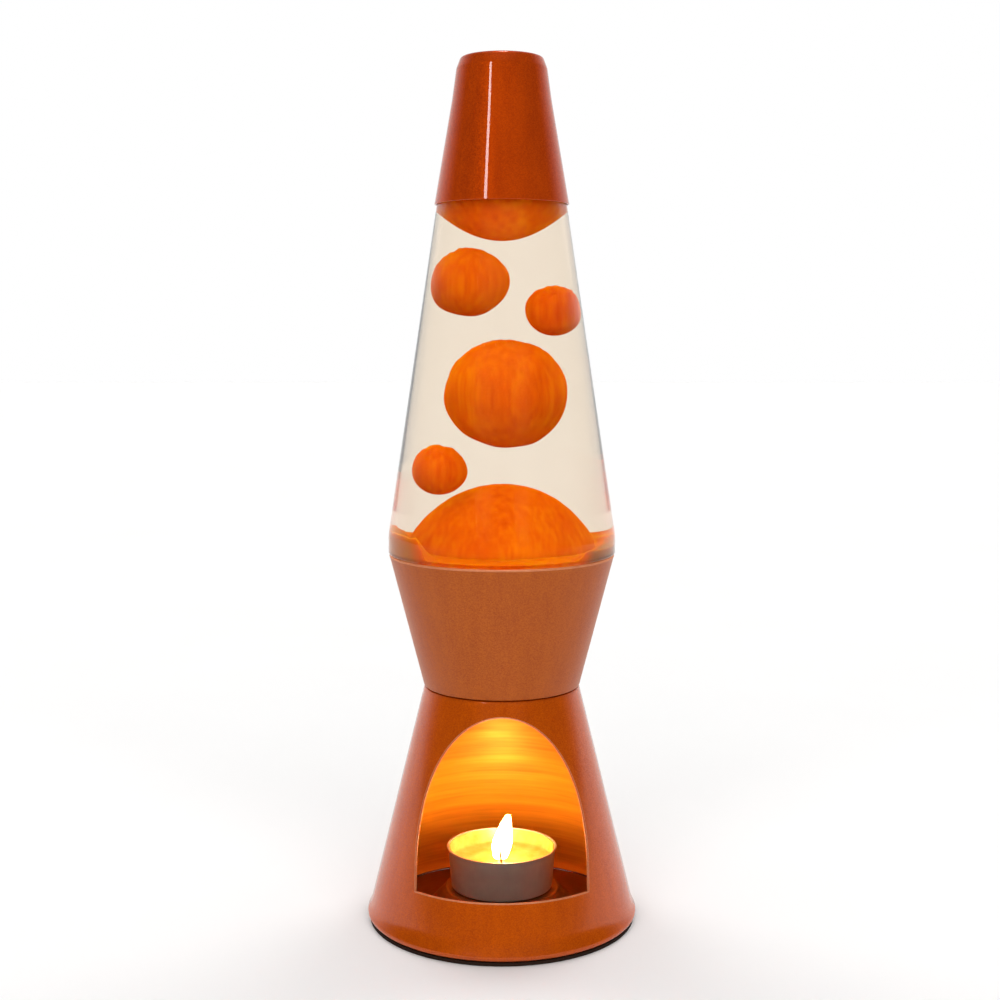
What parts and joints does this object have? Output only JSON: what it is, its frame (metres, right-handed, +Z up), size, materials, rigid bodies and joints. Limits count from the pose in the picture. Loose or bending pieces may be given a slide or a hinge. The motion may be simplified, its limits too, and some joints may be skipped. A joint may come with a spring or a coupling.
{
  "type": "lava lamp",
  "caption": "Candle-heated lava lamp: flared metal base with an arched tealight window, waisted cup, tapered glass bottle of clear liquid and drifting wax, and a loose conical cap.",
  "frame": {"origin": "on the lamp's axis at the underside of its foot pad", "axes": "+Z up along the lamp's axis; the arched window faces -Y; +X is to the right of a person facing the window"},
  "size_m": [0.095, 0.095, 0.298],
  "materials": {
    "gloss_paint": "gloss metallic copper-orange lacquer",
    "satin_paint": "satin metallic copper-orange lacquer",
    "steel": "bright plated",
    "tray_metal": "satin",
    "black_rubber": "matt foam",
    "glass": "clear, smooth",
    "liquid": "clear, faintly cream",
    "wax": "soft translucent",
    "liner": "soft",
    "aluminium": "thin pressed foil",
    "candle_wax": "translucent, part melted",
    "wick": "charred cotton"
  },
  "bodies": {
    "base": {"base_cone": "gloss_paint", "waist_cup": "satin_paint", "flange_rivet_1": "steel", "flange_rivet_2": "steel", "flange_rivet_3": "steel", "flange_rivet_4": "steel", "floor_tray": "tray_metal", "foot_pad": "black_rubber"},
    "bottle": {"glass_bottle": "glass", "carrier_fluid": "liquid", "wax_pool": "wax", "wax_top": "wax", "heat_coil": "steel", "crown_cap": "steel", "crown_liner": "liner"},
    "blob_1": {"wax_blob_1": "wax"},
    "blob_2": {"wax_blob_2": "wax"},
    "blob_3": {"wax_blob_3": "wax"},
    "blob_4": {"wax_blob_4": "wax"},
    "cap": {"top_cap": "gloss_paint"},
    "tealight": {"tealight_cup": "aluminium", "tealight_wax": "candle_wax", "wick_sustainer": "steel", "tealight_wick": "wick"}
  },
  "joints": [
    {"name": "bottle_lift", "type": "slide", "parent": "base", "child": "bottle", "axis": [0, 0, 1], "range_m": [0, 0.055]},
    {"name": "cap_lift", "type": "slide", "parent": "bottle", "child": "cap", "axis": [0, 0, 1], "range_m": [0, 0.05]},
    {"name": "tealight_draw", "type": "slide", "parent": "base", "child": "tealight", "axis": [0, -0.9135, 0.4067], "range_m": [0, 0.078]},
    {"name": "blob_1_drift", "type": "slide", "parent": "bottle", "child": "blob_1", "axis": [0, 0, 1], "range_m": [-0.003, 0.0035]},
    {"name": "blob_2_drift", "type": "slide", "parent": "bottle", "child": "blob_2", "axis": [0, 0, 1], "range_m": [-0.004, 0.01]},
    {"name": "blob_3_drift", "type": "slide", "parent": "bottle", "child": "blob_3", "axis": [0, 0, 1], "range_m": [-0.003, 0.003]},
    {"name": "blob_4_drift", "type": "slide", "parent": "bottle", "child": "blob_4", "axis": [0, 0, 1], "range_m": [-0.004, 0.002]}
  ]
}
